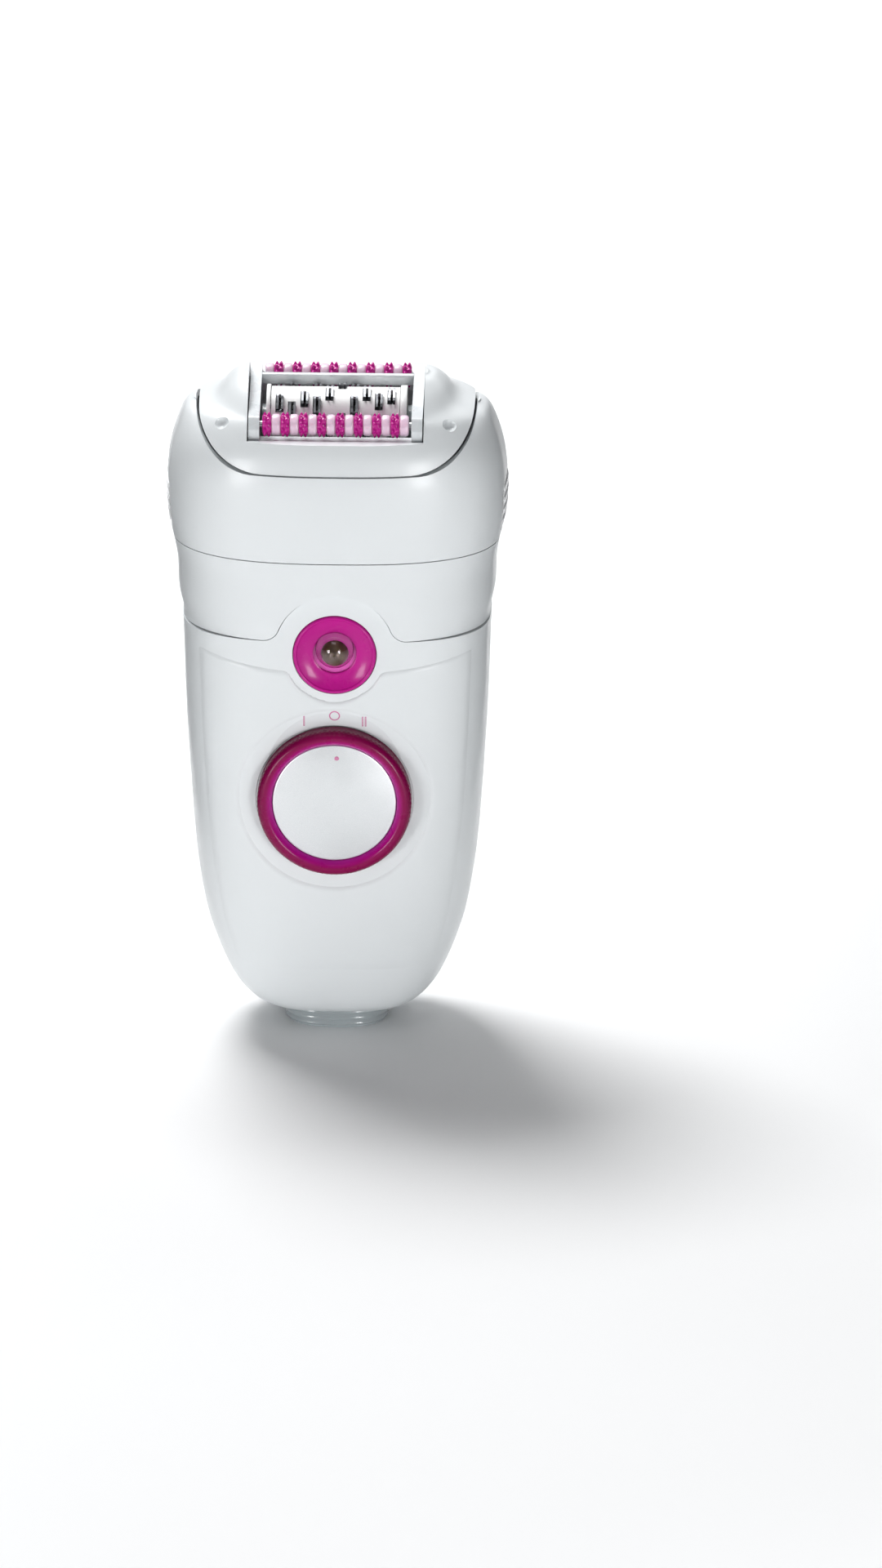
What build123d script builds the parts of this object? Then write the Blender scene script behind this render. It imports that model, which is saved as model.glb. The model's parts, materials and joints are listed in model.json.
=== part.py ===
"""Corded hand-held epilator: handle with a rotary switch and a lamp, a pull-off epilation head
with a driven tweezer drum, and a pull-off cap that carries a pivoting massage roller frame.

Millimetres. X runs left to right, the front of the appliance faces -Y and +Z is up.
The origin is the centre of the flat foot that the appliance stands on.
"""

import math
import os

from build123d import *

# ---------------------------------------------------------------- driving dimensions
WALL = 2.0  # moulded shell thickness
SEAM = 0.2  # visible gap between two mouldings
RUNNING = 0.05  # radial clearance of a shaft in its hole
SPLIT_Y = 1.5  # plane between the front and rear housings
SECTION_POINTS = 28  # points on each body section
REACH = 60.0  # longer than any cut through the body

# Body sections: height, half width, depth to the front, depth to the back.
HANDLE = (
    (4.0, 11.0, 9.1, 9.1),
    (4.7, 14.4, 11.0, 11.2),
    (5.9, 16.4, 12.5, 12.7),
    (8.0, 18.6, 14.0, 14.2),
    (11.9, 21.2, 15.5, 15.8),
    (18.0, 23.8, 16.9, 17.2),
    (26.5, 26.3, 17.9, 18.3),
    (37.0, 27.9, 18.6, 19.1),
    (49.0, 28.9, 19.0, 19.7),
    (63.0, 29.8, 19.2, 20.2),
    (77.0, 30.4, 19.3, 20.7),
    (88.0, 30.8, 19.35, 21.0),
    (99.0, 31.1, 19.4, 21.2),
)
HEAD = (
    (86.0, 31.3, 19.9, 21.4),
    (92.0, 31.4, 20.0, 21.5),
    (98.5, 31.8, 20.1, 21.7),
    (104.0, 32.7, 20.3, 21.9),
    (109.0, 33.7, 20.4, 22.1),
    (114.5, 34.0, 20.4, 22.2),
    (120.0, 33.7, 20.3, 22.0),
    (124.0, 33.0, 19.8, 21.3),
    (127.6, 31.9, 18.3, 19.3),
    (130.2, 30.9, 15.2, 15.8),
    (131.7, 29.8, 11.0, 11.4),
    (132.6, 28.6, 5.0, 5.2),
)
CROWN = (
    (117.0, 33.4, 20.1, 21.9),
    (121.0, 33.0, 19.9, 21.5),
    (124.5, 32.4, 19.4, 20.7),
    (128.0, 31.4, 18.4, 19.4),
    (130.3, 30.1, 17.2, 18.0),
    (131.6, 28.8, 16.4, 17.3),
    (132.4, 27.2, 15.8, 16.7),
    (133.0, 25.5, 15.2, 16.1),
    (133.7, 24.2, 14.5, 15.4),
    (134.8, 23.1, 13.3, 14.3),
    (136.2, 22.0, 11.2, 12.4),
    (137.4, 20.7, 8.6, 9.8),
    (138.1, 19.4, 5.8, 6.8),
    (138.4, 18.2, 3.4, 4.2),
)
HANDLE_POWER = 3.0  # superellipse power of the handle's sections
HEAD_POWER = 2.6

HANDLE_TOP = 87.5  # joint between the handle and the head
HEAD_SEAM = 104.6  # seam between the head's skirt and shell
SADDLE_FLOOR = 123.0  # bottom of the saddle that the massage cap sits in
SADDLE_HALF = 28.1
SADDLE_CORNER = 12.0
SADDLE_FLARE = 0.03  # sideways lean of the saddle's sides

ARCH_RADIUS = 12.0  # housing tongue that surrounds the lamp
ARCH_Z = 85.6
LAMP_Z = 84.8
LAMP_RADIUS = 8.35
LAMP_FACE_Y = -19.3

DIAL_Z = 53.6
DIAL_RADIUS = 15.5
DIAL_SEAT_Y = -17.9
DISH_RADIUS = 75.0  # shallow hollow round the dial
DISH_Y = -91.9
DIAL_CAP_RADIUS = 12.4
DIAL_SHAFT = 3.5
DIAL_PIN_ARM = 7.5  # distance from the dial axis to the pin that shifts the switch
DIAL_PIN = 0.8

DRIVE_Y = 1.0  # motor and pinion axis
MOTOR_RADIUS = 12.0
MOTOR_LOW, MOTOR_HIGH = 50.0, 78.0
SHAFT_RADIUS = 1.0

MODULE = 0.7
PINION_TEETH = 10
CROWN_TEETH = 24
TRAIN_TEETH = 12
IDLER_TEETH = 15
DRUM_TEETH = 18
PRESSURE_ANGLE = math.radians(20)
BACKLASH = 0.16
CROWN_Y, CROWN_Z = DRIVE_Y, 106.9
GEAR_X0, GEAR_X1 = 12.8, 14.0  # where the spur gears lie along X

DRUM_Y, DRUM_Z = -1.0, 127.7
DRUM_RADIUS = 7.0
CLAW_RADIUS = 7.7
DRUM_X0, DRUM_X1 = -13.1, 12.6
DISC_WIDTH = 0.9  # solid web of the drum between two pairs of tweezer plates
PLATE = 0.45  # tweezer plate thickness
CLAW_GAP = 0.5
CLAW_TURNS = (36, 52, 27, 41, 14, 72, 40, 14, 31, 20)  # degrees, one for each pair of plates
CLAW_WINDOW = 4.3  # width of the windows in the drum that the claws come out of
POCKET_RADIUS = 5.85
HUB_RADIUS = 3.2
AXLE_RADIUS = 1.25
WALL_X0, WALL_X1 = 14.1, 15.0  # upright walls of the head chassis

HEAD_TILT = 7.0  # degrees that the roller frame leans towards the front
ROLLER_SPREAD = 10.5  # from the drum axis to each roller, along the frame
ROLLER_RISE = 5.0
WHEEL_RADIUS = 2.6
WHEEL_COUNT = 8
WHEEL_PITCH = 3.66
WHEEL_WIDTH = 1.8
BEAD_RADIUS = 2.4
ROLLER_STAGGER = WHEEL_PITCH / 4
ROLLER_AXLE = 0.75
PLATE_X0, PLATE_X1 = 15.2, 17.4  # side plates of the roller frame
SLOT_HALF = 17.65  # opening of the cap between its shoulders
TRUNNION = 1.55
FRAME_SWEEP = 14.55  # radius that the cap keeps clear around the pivot

BUTTON_Z0, BUTTON_Z1 = 106.2, 117.2
BUTTON_HALF = 6.8
BUTTON_PLAY = 0.25

FOOT_HALF_X, FOOT_HALF_Y = 10.5, 8.9
FOOT_TAPER = ((0, 1.1), (0.35, 0.6), (0.9, 0.35), (3.9, 0))  # height, draw-in
RECESS_HALF_X, RECESS_HALF_Y = 6.4, 3.9
RECESS_TOP = 11.0
PIN_RADIUS, PIN_SPACING = 0.9, 4.8
PIN_SHANK = 1.1  # thicker part of each pin, held in the socket's end wall
PIN_TIP = 4.6

PARTS = {}


def keep(name, *solids):
    """Files one or more solids under a node's name."""
    PARTS[name] = solids


# ---------------------------------------------------------------- shapes that repeat
def superellipse_points(half_width, front, back, power):
    """Points round a closed section that has its own depth to the front and to the back."""
    points = []
    for i in range(SECTION_POINTS):
        turn = 2 * math.pi * i / SECTION_POINTS
        c, s = math.cos(turn), math.sin(turn)
        depth = back if s > 0 else front
        x = half_width * math.copysign(abs(c) ** (2 / power), c)
        y = depth * math.copysign(abs(s) ** (2 / power), s)
        points.append((x, y))
    return points


def section_knots(power):
    """Chord lengths round a typical section, so that every section shares its knots."""
    points = superellipse_points(31, 19, 19, power)
    knots = [0.0]
    for here, there in zip(points, points[1:] + points[:1]):
        knots.append(knots[-1] + math.dist(here, there))
    return [knot / knots[-1] for knot in knots]


def superellipse(z, half_width, front, back, power):
    """Closed face in a horizontal plane."""
    points = superellipse_points(half_width, front, back, power)
    edge = Edge.make_spline(
        [Vector(x, y, z) for x, y in points], periodic=True, parameters=section_knots(power)
    )
    return Face(Wire([edge]))


def form(stations, power, inset=0.0, rise=0.0):
    """Solid through the stations, drawn in by inset and moved up by rise."""
    faces = [
        superellipse(z + rise, half - inset, front - inset, back - inset, power)
        for z, half, front, back in stations
    ]
    return loft(faces)


def along_x(sketch, x0, x1):
    """Extrudes a (y, z) sketch from x0 to x1."""
    return extrude(Plane.YZ.offset(x0) * sketch, amount=x1 - x0, dir=(1, 0, 0))


def along_y(sketch, y0, y1):
    """Extrudes an (x, z) sketch from y0 to y1."""
    return extrude(Plane.XZ.offset(-y0) * sketch, amount=y1 - y0, dir=(0, 1, 0))


def along_z(sketch, z0, z1):
    """Extrudes an (x, y) sketch from z0 to z1."""
    return extrude(Pos(0, 0, z0) * sketch, amount=z1 - z0, dir=(0, 0, 1))


def rod_x(radius, x0, x1, y=0.0, z=0.0):
    return along_x(Pos(y, z) * Circle(radius), x0, x1)


def rod_y(radius, y0, y1, x=0.0, z=0.0):
    return along_y(Pos(x, z) * Circle(radius), y0, y1)


def rod_z(radius, z0, z1, x=0.0, y=0.0):
    return along_z(Pos(x, y) * Circle(radius), z0, z1)


def block(x0, x1, y0, y1, z0, z1):
    """Box from its lowest and highest corners."""
    middle = Pos((x0 + x1) / 2, (y0 + y1) / 2, (z0 + z1) / 2)
    return middle * Box(x1 - x0, y1 - y0, z1 - z0)


def slab(z0, z1):
    return block(-REACH, REACH, -REACH, REACH, z0, z1)


def oval(half_x, half_y, power=HEAD_POWER):
    """Superellipse sketch, symmetric front to back."""
    return superellipse(0, half_x, half_y, half_y, power)


def turned(points, y_plane, z_axis):
    """Revolves (radius, height) points about a -Y axis whose height 0 is the plane y_plane."""
    outline = make_face(Polyline(*[(r, h) for r, h in points], close=True))
    solid = revolve(Plane.XY * outline, axis=Axis.Y)
    return Pos(0, y_plane, z_axis) * Rot(180, 0, 0) * solid


def mirrored(shape):
    return mirror(shape, about=Plane.YZ)


def tube(points, radii, radius):
    """Round lead along straight runs joined by tangent arcs."""
    path = FilletPolyline(*points, radius=radii)
    start = Plane(origin=path @ 0, z_dir=path % 0)
    return sweep(start * Circle(radius), path=path)


# ---------------------------------------------------------------- handle shells
def arch_sketch(grow):
    """Tongue of the handle that rises round the lamp, blended into the joint line."""
    top = HANDLE_TOP + grow
    skirt = Pos(0, top - 8) * Rectangle(50, 16)
    outline = skirt + Pos(0, ARCH_Z) * Circle(ARCH_RADIUS + grow)
    corners = [
        v for v in outline.vertices() if abs(v.Y - top) < 0.01 and abs(v.X) < 20
    ]
    outline = fillet(corners, 3.5)
    return outline & (Pos(0, top + 3) * Rectangle(44, 30))


def handle_shells():
    outer = form(HANDLE, HANDLE_POWER)
    shell = outer - form(HANDLE, HANDLE_POWER, inset=WALL, rise=1.6)
    foot_hole = along_z(oval(FOOT_HALF_X - 1.3, FOOT_HALF_Y - 1.3), 0, 8)
    below = slab(0, HANDLE_TOP - SEAM / 2)
    tongue = along_y(arch_sketch(-SEAM / 2), -REACH, -12)
    front = shell & block(-REACH, REACH, -REACH, SPLIT_Y - SEAM / 2, 0, 140)
    front = front & (below + tongue)
    rear = shell & block(-REACH, REACH, SPLIT_Y + SEAM / 2, REACH, 0, 140)
    rear = rear & below

    inside = form(HANDLE, HANDLE_POWER, inset=WALL / 2, rise=0.8)
    for x, z in SCREW_PLACES:
        front += rod_y(2.9, -REACH, SPLIT_Y - SEAM / 2, x, z) & inside
        front -= rod_y(SCREW_SHANK + RUNNING, -6, 4, x, z)
        rear += rod_y(3.6, SPLIT_Y + SEAM / 2, REACH, x, z) & inside
        rear -= rod_y(SCREW_SHANK + 0.2, 0, REACH, x, z)
        rear -= rod_y(SCREW_HEAD + 0.3, SCREW_SEAT_Y, REACH, x, z)

    front += rod_y(8.5, -17.6, -15.9, 0, DIAL_Z)
    front -= Pos(0, DISH_Y, DIAL_Z) * Sphere(DISH_RADIUS)
    front -= rod_y(DIAL_RADIUS + 0.3, -REACH, DIAL_SEAT_Y, 0, DIAL_Z)
    front -= rod_y(DIAL_SHAFT + RUNNING, -REACH, 0, 0, DIAL_Z)
    front -= rod_y(LAMP_RADIUS + 0.1, -REACH, -10, 0, LAMP_Z)
    label = along_y(Pos(0, 57) * RectangleRounded(30, 24, 4), 19.65, 30)
    keep("front_housing", front - foot_hole)
    keep("rear_housing", rear - foot_hole - label)


SCREW_PLACES = ((-21.5, 38.0), (21.5, 38.0), (-21.5, 76.0), (21.5, 76.0))
SCREW_SHANK = 0.95
SCREW_HEAD = 2.2
SCREW_SEAT_Y = 9.5


def housing_screws():
    screws = []
    for x, z in SCREW_PLACES:
        screw = rod_y(SCREW_SHANK, -5, SCREW_SEAT_Y, x, z)
        screw += rod_y(SCREW_HEAD, SCREW_SEAT_Y, SCREW_SEAT_Y + 1.6, x, z)
        for turn in (0, 90):
            cross = Pos(x, SCREW_SEAT_Y + 1.6, z) * Rot(0, turn, 0) * Box(2.6, 1.6, 0.6)
            screw -= cross
        screws.append(screw)
    keep("housing_screws", *screws)


NECK_HALF_X, NECK_HALF_Y = 20.0, 11.0
NECK_TOP = 94.0
DECK_LOW, DECK_HIGH = 84.6, 87.2
LATCH_SLOT = (23.3, 27.3, 2.6, 6.4)  # x and y range of the slot for each latch arm


def neck_deck():
    """Plate that closes the handle, with the neck that the head plugs on to."""
    deck = form(HANDLE, HANDLE_POWER, inset=WALL + 0.1) & slab(DECK_LOW, DECK_HIGH)
    neck = along_z(oval(NECK_HALF_X, NECK_HALF_Y), DECK_HIGH - 0.1, NECK_TOP)
    hollow = along_z(oval(NECK_HALF_X - 1.8, NECK_HALF_Y - 1.8), 80, NECK_TOP - 1.6)
    deck = deck + Pos(0, DRIVE_Y, 0) * neck - Pos(0, DRIVE_Y, 0) * hollow
    deck -= rod_z(5.0, 80, 100, 0, DRIVE_Y)
    deck -= block(-10.5, 10.5, -30, -12.2, 80, 90)
    x0, x1, y0, y1 = LATCH_SLOT
    slot = block(x0, x1, y0, y1, 80, 90)
    keep("neck_deck", deck - slot - mirrored(slot))


# ---------------------------------------------------------------- power socket and foot
def power_socket():
    outline = [
        superellipse(z, FOOT_HALF_X - draw, FOOT_HALF_Y - draw, FOOT_HALF_Y - draw, HEAD_POWER)
        for z, draw in FOOT_TAPER
    ]
    foot = loft(outline, ruled=True)
    barrel = along_z(oval(FOOT_HALF_X - 1.5, FOOT_HALF_Y - 1.5), 3.8, RECESS_TOP + 1.6)
    recess = along_z(oval(RECESS_HALF_X, RECESS_HALF_Y), -1, RECESS_TOP)
    body = foot + barrel - recess
    pins = []
    for x in (-PIN_SPACING / 2, PIN_SPACING / 2):
        body -= rod_z(PIN_SHANK + 0.02, RECESS_TOP - 1, 20, x)
        pin = rod_z(PIN_RADIUS, PIN_TIP, RECESS_TOP, x)
        pins.append(pin + rod_z(PIN_SHANK, RECESS_TOP, RECESS_TOP + 3.2, x))
    keep("socket_body", body)
    keep("socket_pins", *pins)


# ---------------------------------------------------------------- lamp
def lamp():
    rim = LAMP_RADIUS
    dish = [(0, -2.2), (rim, -2.2), (rim, 0.1), (rim - 0.5, 0.25), (5.2, -0.9), (0, -0.9)]
    bezel = turned(dish, LAMP_FACE_Y, LAMP_Z)
    bezel -= rod_y(4.3, -30, 0, 0, LAMP_Z)
    keep("light_bezel", bezel)
    dome = Pos(0, -18.0, LAMP_Z) * Sphere(4.1)
    dome = dome & block(-9, 9, -30, -17.2, 70, 100)
    dome += rod_y(4.2, -17.4, -16.2, 0, LAMP_Z)
    dome -= rod_y(2.7, -20.2, -10, 0, LAMP_Z)
    keep("light_dome", dome)
    lamp_bulb = rod_y(2.4, -19.0, -15.2, 0, LAMP_Z) + Pos(0, -19.0, LAMP_Z) * Sphere(2.4)
    lamp_bulb &= block(-9, 9, -20.1, -10, 70, 100)
    lamp_bulb += rod_y(2.9, -15.4, -14.4, 0, LAMP_Z)
    for x in (-1.27, 1.27):
        lamp_bulb += block(x - 0.25, x + 0.25, -14.5, -13.6, 76.6, LAMP_Z)
        lamp_bulb += block(x - 0.25, x + 0.25, -13.9, -12.4, 76.6, 77.1)
    keep("led_lamp", lamp_bulb)
    cup = rod_y(9.6, -16.1, -14.8, 0, LAMP_Z) - rod_y(3.1, -20, -10, 0, LAMP_Z)
    for x in (-7.4, 7.4):
        cup -= Pos(x, -15.4, LAMP_Z) * Rot(90, 0, 0) * Cylinder(0.8, 4)
    keep("light_reflector", cup)


# ---------------------------------------------------------------- dial and speed switch
def dial():
    ring = [
        (DIAL_CAP_RADIUS + 0.1, 0.3),
        (DIAL_RADIUS - 0.1, 0.3),
        (DIAL_RADIUS, 0.6),
        (DIAL_RADIUS, 2.6),
        (DIAL_RADIUS - 0.35, 3.5),
        (DIAL_RADIUS - 1.0, 4.15),
        (DIAL_RADIUS - 1.8, 4.3),
        (DIAL_RADIUS - 2.5, 3.95),
        (DIAL_CAP_RADIUS + 0.1, 3.2),
    ]
    keep("dial_ring", turned(ring, DIAL_SEAT_Y, DIAL_Z))
    cap = [
        (0, 1.9),
        (DIAL_CAP_RADIUS, 1.9),
        (DIAL_CAP_RADIUS, 2.85),
        (DIAL_CAP_RADIUS - 0.3, 3.1),
        (9.5, 3.35),
        (6, 3.6),
        (3, 3.75),
        (0, 3.8),
    ]
    keep("dial_cap", turned(cap, DIAL_SEAT_Y, DIAL_Z))

    carrier = rod_y(DIAL_CAP_RADIUS - 0.1, -19.7, -18.1, 0, DIAL_Z)
    carrier += rod_y(DIAL_SHAFT, -18.2, -14.3, 0, DIAL_Z)
    arm = Pos(0, DIAL_Z - DIAL_PIN_ARM / 2) * Rectangle(3.2, DIAL_PIN_ARM)
    arm += Pos(0, DIAL_Z - DIAL_PIN_ARM) * Circle(1.6)
    carrier += along_y(arm, -15.2, -14.3)
    carrier += rod_y(DIAL_PIN, -14.4, -13.25, 0, DIAL_Z - DIAL_PIN_ARM)
    keep("dial_carrier", carrier)
    clip = rod_y(5.6, -15.82, -15.3, 0, DIAL_Z) - rod_y(3.52, -20, -10, 0, DIAL_Z)
    clip -= block(-1.6, 1.6, -20, -10, DIAL_Z, DIAL_Z + 9)
    keep("dial_clip", clip)


def speed_switch():
    z = DIAL_Z - DIAL_PIN_ARM
    body = block(-8, 8, -13.05, -12.42, z - 3.2, z + 3.2)
    for x in (-7.6, 6.8):
        body += block(x, x + 0.8, -14.1, -12.9, z - 3.2, z + 3.2)
    keep("switch_body", body)
    slider = block(-3, 3, -14.05, -13.12, z - 2.6, z + 2.6)
    slider -= block(-0.95, 0.95, -15, -12, z - 1.2, z + 1.7)
    keep("switch_slider", slider)


# ---------------------------------------------------------------- electronics and leads
BOARD_BACK, BOARD_FRONT = -11.2, -12.4


def circuit_board():
    board = block(-17, 17, BOARD_FRONT, BOARD_BACK, 29, 79.5)
    for x in (-15, 15):
        board -= rod_y(1.1, -20, 0, x, 31.5)
    keep("circuit_board", board)
    capacitor = rod_y(4.0, BOARD_BACK, 1.0, 9, 36)
    coil = rod_y(3.4, BOARD_BACK, -4.5, -8.6, 36) - rod_y(1.2, -8, 0, -8.6, 36)
    parts = [capacitor, coil]
    for i in range(5):
        x = -12 + 5.2 * i
        parts.append(block(x - 0.8, x + 0.8, BOARD_FRONT - 1.1, BOARD_FRONT, 33, 36.4))
    parts.append(block(-5, 5, BOARD_FRONT - 1.6, BOARD_FRONT, 65.5, 71))
    for x in (-13.5, 13.5):
        diode = rod_y(1.0, 0, 4.4)
        diode = Pos(x, BOARD_FRONT - 1.05, 58) * Rot(90, 0, 0) * diode
        parts.append(diode)
    keep("board_components", *parts)


def leads():
    motor_leads = []
    socket_leads = []
    for side in (-1, 1):
        route = [
            (side * 6, 1, 46.8),
            (side * 6, 1, 42),
            (side * 14, -6, 42),
            (side * 14, BOARD_BACK + 0.5, 45),
        ]
        motor_leads.append(tube(route, [2.4, 2.4], 0.6))
        route = [
            (side * PIN_SPACING / 2, 0, RECESS_TOP + 3.25),
            (side * PIN_SPACING / 2, 0, 20),
            (side * 4, -6, 25),
            (side * 4, BOARD_BACK + 0.75, 31),
        ]
        socket_leads.append(tube(route, [2.4, 2.4], 0.6))
    keep("motor_leads", *motor_leads)
    keep("socket_leads", *socket_leads)


# ---------------------------------------------------------------- motor
def motor():
    can = rod_z(MOTOR_RADIUS, MOTOR_LOW, MOTOR_HIGH, 0, DRIVE_Y)
    can += rod_z(3.2, MOTOR_HIGH, MOTOR_HIGH + 2, 0, DRIVE_Y)
    can -= rod_z(MOTOR_RADIUS - 1, MOTOR_LOW - 1, MOTOR_HIGH - 1, 0, DRIVE_Y)
    can -= rod_z(SHAFT_RADIUS + RUNNING, 40, 90, 0, DRIVE_Y)
    keep("motor_can", can)

    ring = rod_z(MOTOR_RADIUS - 1.05, 55, 74, 0, DRIVE_Y)
    ring -= rod_z(9.2, 50, 80, 0, DRIVE_Y)
    magnets = [
        ring & block(-REACH, REACH, DRIVE_Y + 3, REACH, 50, 80),
        ring & block(-REACH, REACH, -REACH, DRIVE_Y - 3, 50, 80),
    ]
    keep("motor_magnets", *magnets)

    end = rod_z(MOTOR_RADIUS - 1.05, MOTOR_LOW - 1, MOTOR_LOW + 1, 0, DRIVE_Y)
    end += rod_z(3.4, MOTOR_LOW - 2.6, MOTOR_LOW, 0, DRIVE_Y)
    end -= rod_z(SHAFT_RADIUS + RUNNING, 40, 60, 0, DRIVE_Y)
    for side in (-1, 1):
        end -= block(side * 6 - 1.1, side * 6 + 1.1, 0.65, 1.35, 40, 60)
    keep("motor_end_cap", end)
    keep(
        "motor_terminals",
        *[block(side * 6 - 1, side * 6 + 1, 0.7, 1.3, 46.9, 53.5) for side in (-1, 1)],
    )

    shaft = rod_z(SHAFT_RADIUS, MOTOR_LOW - 2, 99.8, 0, DRIVE_Y)
    keep("motor_shaft", shaft)
    poles = rod_z(8.7, 57, 72, 0, DRIVE_Y) - rod_z(7.2, 50, 80, 0, DRIVE_Y)
    slots = Sketch()
    for turn in (30, 150, 270):
        slots += Pos(0, DRIVE_Y) * Rot(0, 0, turn) * Pos(8, 0) * Rectangle(4, 2)
    poles -= along_z(slots, 50, 80)
    spokes = Pos(0, DRIVE_Y) * Circle(3)
    for turn in (90, 210, 330):
        spokes += Pos(0, DRIVE_Y) * Rot(0, 0, turn) * Pos(4, 0) * Rectangle(8, 3)
    armature = poles + along_z(spokes, 57, 72)
    armature -= rod_z(SHAFT_RADIUS + 0.02, 40, 90, 0, DRIVE_Y)
    keep("motor_armature", armature)
    commutator = rod_z(2.6, 52.2, 56.5, 0, DRIVE_Y)
    commutator -= rod_z(SHAFT_RADIUS + 0.02, 40, 90, 0, DRIVE_Y)
    for turn in (0, 60, 120):
        commutator -= (
            Pos(0, DRIVE_Y, 53) * Rot(0, 0, turn) * (Pos(2.6, 0, 0) * Box(1, 0.3, 3))
        )
    keep("motor_commutator", commutator)


def motor_cradle():
    """Open clamp that holds the motor against the rear housing."""
    spine = block(-7, 7, 13.3, 15.0, 50, 80)
    clamp = spine
    for z in (53, 71):
        ring = rod_z(MOTOR_RADIUS + 1.7, z, z + 4, 0, DRIVE_Y)
        ring -= rod_z(MOTOR_RADIUS + 0.05, z - 1, z + 5, 0, DRIVE_Y)
        clamp += ring - block(-REACH, REACH, -REACH, -7, z - 1, z + 5)
    clamp -= rod_z(MOTOR_RADIUS + 0.05, 40, 90, 0, DRIVE_Y)
    screws = []
    for z in (62, 66.5):
        clamp -= rod_y(1.0, 10, 20, 0, z)
        screw = rod_y(0.95, 13.35, 15.6, 0, z) + rod_y(0.95, 13.1, 13.4, 0, z)
        screws.append(screw)
    keep("motor_cradle", clamp)
    keep("cradle_screws", *screws)


# ---------------------------------------------------------------- gears
def involute(angle):
    return math.tan(angle) - angle


def gear_sketch(teeth, phase=0.0, addendum=1.0, dedendum=1.2, backlash=BACKLASH):
    """Involute outline with one tooth centred at phase radians."""
    pitch = teeth * MODULE / 2
    base = pitch * math.cos(PRESSURE_ANGLE)
    tip = pitch + addendum * MODULE
    root = pitch - dedendum * MODULE
    at_base = math.pi / (2 * teeth) - backlash / (2 * pitch) + involute(PRESSURE_ANGLE)

    def half(radius):
        if radius <= base:
            return at_base
        return at_base - involute(math.acos(base / radius))

    low = max(base, root)
    flank = [low + (tip - low) * i / 4 for i in range(5)]
    if root < base:
        flank.insert(0, root)
    points = []
    for i in range(teeth):
        middle = phase + 2 * math.pi * i / teeth
        rising = [(r, middle - half(r)) for r in flank]
        falling = [(r, middle + half(r)) for r in reversed(flank)]
        points += [(r * math.cos(a), r * math.sin(a)) for r, a in rising + falling]
    return make_face(Polyline(*points, close=True))


def meshing_phase(teeth_a, phase_a, teeth_b, direction):
    """Phase that puts a gap of gear b on a tooth of gear a. direction runs from a to b."""
    lead = (teeth_a / teeth_b) * (phase_a - direction)
    return direction + math.pi - lead + math.pi / teeth_b


def gear_places():
    """Idler centre and the phases of the three spur gears, in the YZ plane."""
    crown, drum = Vector(CROWN_Y, CROWN_Z), Vector(DRUM_Y, DRUM_Z)
    near = (TRAIN_TEETH + IDLER_TEETH) * MODULE / 2
    far = (IDLER_TEETH + DRUM_TEETH) * MODULE / 2
    span = (drum - crown).length
    bearing = math.atan2(DRUM_Z - CROWN_Z, DRUM_Y - CROWN_Y)
    lean = math.acos((near**2 + span**2 - far**2) / (2 * near * span))
    to_idler = bearing - lean
    idler_y = CROWN_Y + near * math.cos(to_idler)
    idler_z = CROWN_Z + near * math.sin(to_idler)
    to_drum = math.atan2(DRUM_Z - idler_z, DRUM_Y - idler_y)
    idler_phase = meshing_phase(TRAIN_TEETH, 0.0, IDLER_TEETH, to_idler)
    drum_phase = meshing_phase(IDLER_TEETH, idler_phase, DRUM_TEETH, to_drum)
    return idler_y, idler_z, idler_phase, drum_phase


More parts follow.
